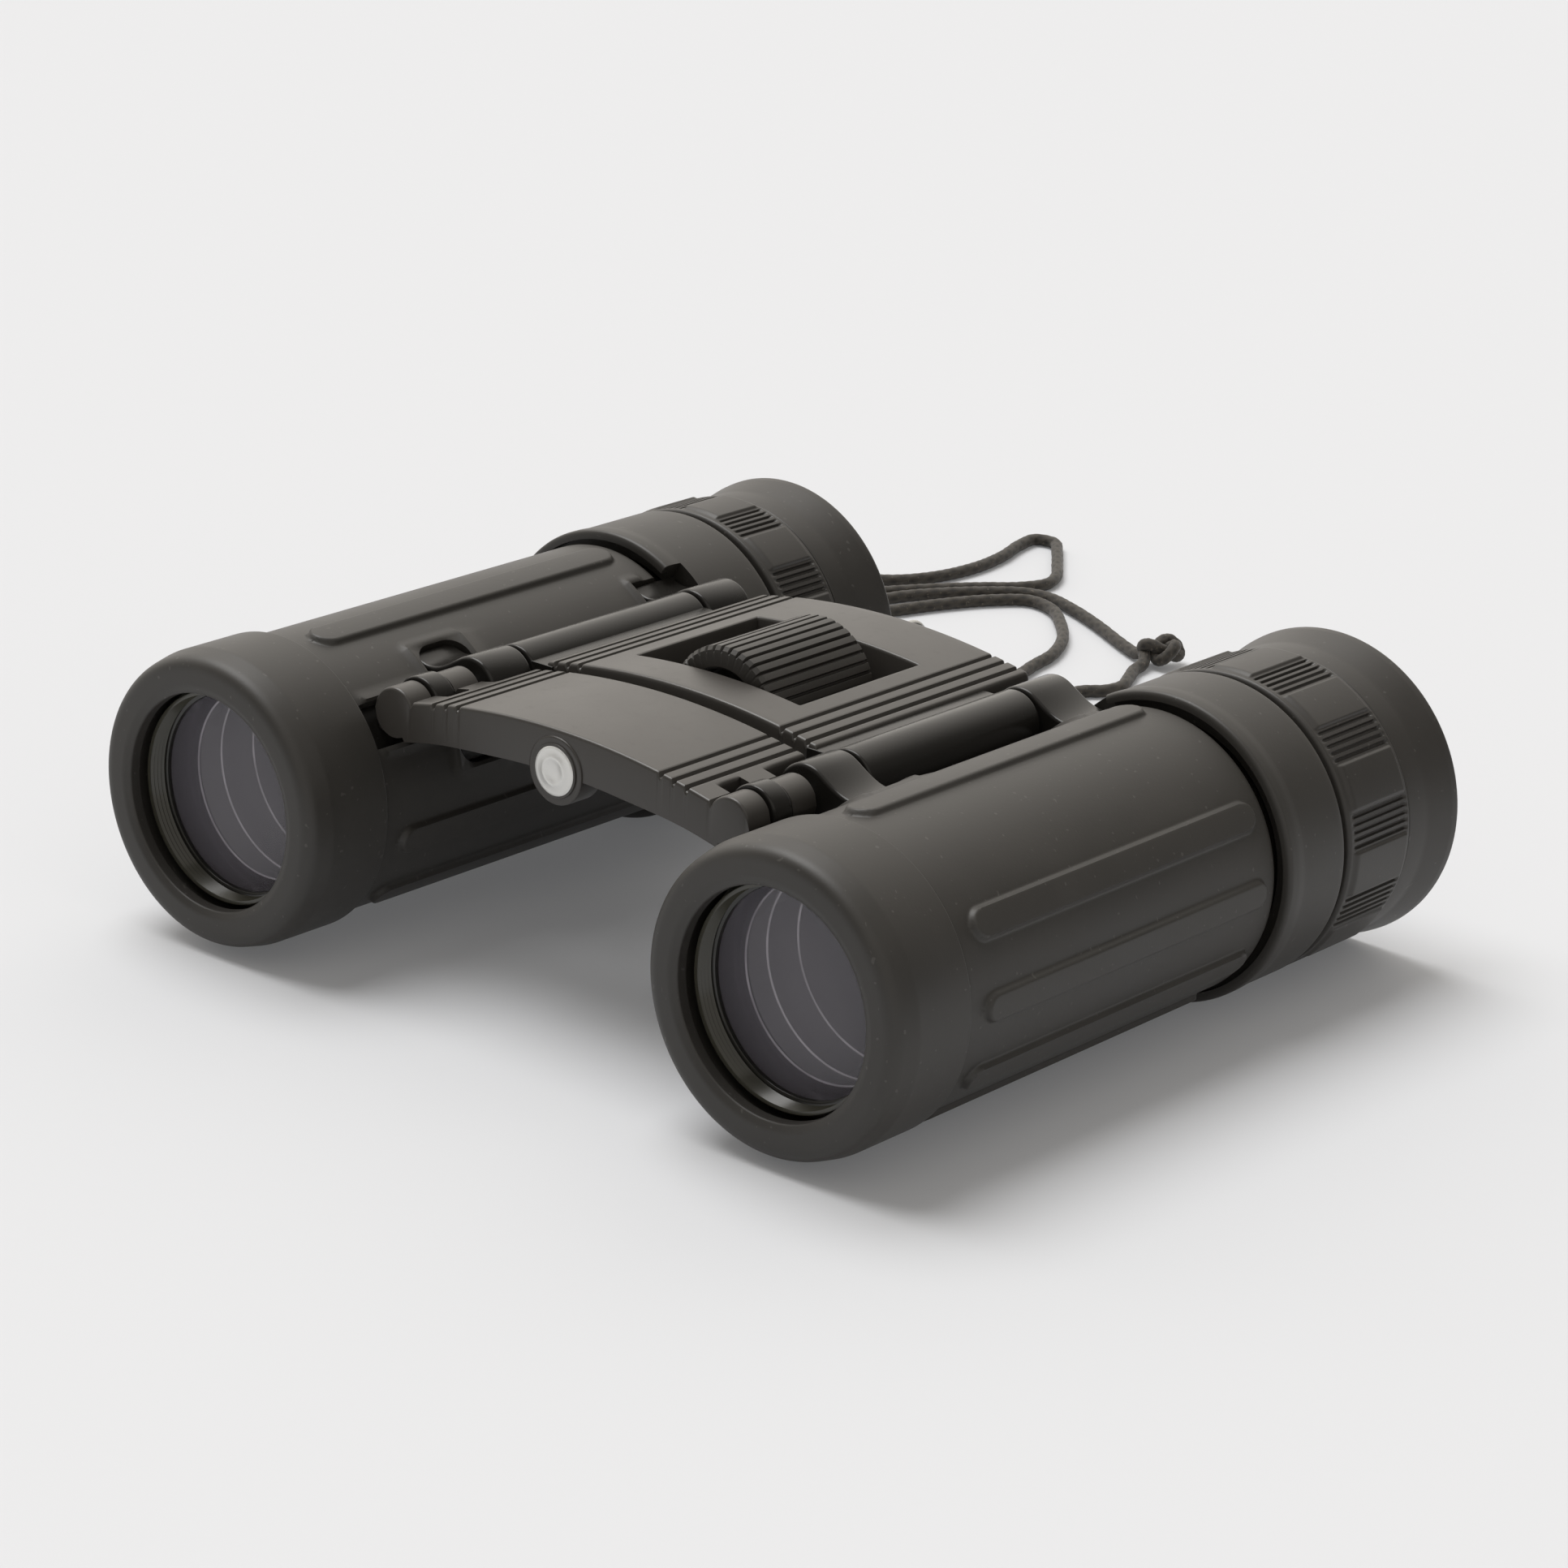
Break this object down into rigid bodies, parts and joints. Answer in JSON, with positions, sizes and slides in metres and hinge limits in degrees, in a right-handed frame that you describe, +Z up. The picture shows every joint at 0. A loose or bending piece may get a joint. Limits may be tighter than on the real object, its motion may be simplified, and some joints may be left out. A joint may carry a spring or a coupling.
{
  "type": "compact binoculars",
  "caption": "Compact roof-prism binoculars with folding barrels on a double-hinged bridge, a centre focus wheel and a thin neck cord.",
  "frame": {"origin": "middle of the footprint of the binoculars without the cord, on the ground under the eyecup rims", "axes": "+X towards the user's left barrel, +Y from the objectives to the eyecups, +Z up"},
  "size_m": [0.1507, 0.1788, 0.0338],
  "materials": {
    "rubber_armour": "matte black, slightly warm",
    "ring_rubber": "satin black",
    "casing_paint": "satin black paint",
    "bridge_anodised": "satin black anodised",
    "cell_black": "glossy black",
    "wheel_black": "matte black, knurled",
    "steel": "turned",
    "cage_plastic": "matte black",
    "badge_silver": "satin",
    "coated_glass": "polished, violet-grey coating",
    "clear_glass": "polished",
    "cord": "tight braid, brown-black"
  },
  "bodies": {
    "bridge": {"rear_bridge": "bridge_anodised", "under_cover": "cage_plastic", "left_hinge_pin": "steel", "right_hinge_pin": "steel", "cord_eyelet": "steel", "cover_screw_1": "steel", "cover_screw_2": "steel", "cover_screw_3": "steel", "cover_screw_4": "steel", "cord_to_knot": "cord", "cord_to_coil": "cord", "cord_to_eyelet": "cord", "cord_coil": "cord", "cord_knot": "cord"},
    "left_barrel": {"left_casing": "casing_paint", "left_grip": "rubber_armour", "left_bezel": "rubber_armour", "left_collar": "rubber_armour", "left_eyepiece_ring": "ring_rubber", "left_eyecup": "ring_rubber", "left_prism_cage": "cage_plastic", "left_front_prism": "clear_glass", "left_roof_prism": "clear_glass", "left_ocular_tube": "cage_plastic", "left_field_lens": "clear_glass", "left_eye_lens": "coated_glass"},
    "right_barrel": {"right_casing": "casing_paint", "right_grip": "rubber_armour", "right_bezel": "rubber_armour", "right_collar": "rubber_armour", "right_prism_cage": "cage_plastic", "right_front_prism": "clear_glass", "right_roof_prism": "clear_glass"},
    "left_cell": {"left_objective_cell": "cell_black", "left_retaining_ring": "cell_black", "left_objective_lens": "coated_glass", "left_focus_arm": "casing_paint", "left_arm_screw": "steel"},
    "right_cell": {"right_objective_cell": "cell_black", "right_retaining_ring": "cell_black", "right_objective_lens": "coated_glass", "right_focus_arm": "casing_paint", "right_arm_screw": "steel"},
    "front_bridge": {"front_bridge": "bridge_anodised", "badge": "badge_silver", "focus_spindle": "steel"},
    "focus_wheel": {"focus_wheel": "wheel_black"},
    "dioptre": {"diopter_ring": "ring_rubber", "right_eyecup": "ring_rubber"},
    "right_ocular": {"right_ocular_tube": "cage_plastic", "right_field_lens": "clear_glass", "right_eye_lens": "coated_glass"}
  },
  "joints": [
    {"name": "left_barrel_fold", "type": "hinge", "parent": "bridge", "child": "left_barrel", "pos_m": [0.0221, 0, 0.0272], "axis": [0, 1, 0], "range_deg": [0, 64]},
    {"name": "right_barrel_fold", "type": "hinge", "parent": "bridge", "child": "right_barrel", "pos_m": [-0.0221, 0, 0.0272], "axis": [0, -1, 0], "range_deg": [0, 64]},
    {"name": "focus_wheel_turn", "type": "hinge", "parent": "bridge", "child": "focus_wheel", "pos_m": [0, 0, 0.0268], "axis": [0, 1, 0], "range_deg": [-72.1, 225.1]},
    {"name": "front_bridge_slide", "type": "slide", "parent": "bridge", "child": "front_bridge", "axis": [0, -1, 0], "range_m": [-0.0008, 0.0025]},
    {"name": "left_cell_slide", "type": "slide", "parent": "left_barrel", "child": "left_cell", "axis": [0, -1, 0], "range_m": [-0.00081, 0.00251]},
    {"name": "right_cell_slide", "type": "slide", "parent": "right_barrel", "child": "right_cell", "axis": [0, -1, 0], "range_m": [-0.00081, 0.00251]},
    {"name": "dioptre_turn", "type": "hinge", "parent": "right_barrel", "child": "dioptre", "pos_m": [-0.0373, 0, 0.0164], "axis": [0, 1, 0], "range_deg": [-60, 60]},
    {"name": "right_ocular_slide", "type": "slide", "parent": "right_barrel", "child": "right_ocular", "axis": [0, 1, 0], "range_m": [-0.00034, 0.00034]}
  ],
  "couplings": [
    {"joint": "focus_wheel_turn", "follows": "front_bridge_slide", "rad_per_m": 1570.8},
    {"joint": "left_cell_slide", "follows": "front_bridge_slide", "ratio": 1},
    {"joint": "right_cell_slide", "follows": "front_bridge_slide", "ratio": 1},
    {"joint": "right_ocular_slide", "follows": "dioptre_turn", "m_per_rad": 0.00031831}
  ]
}
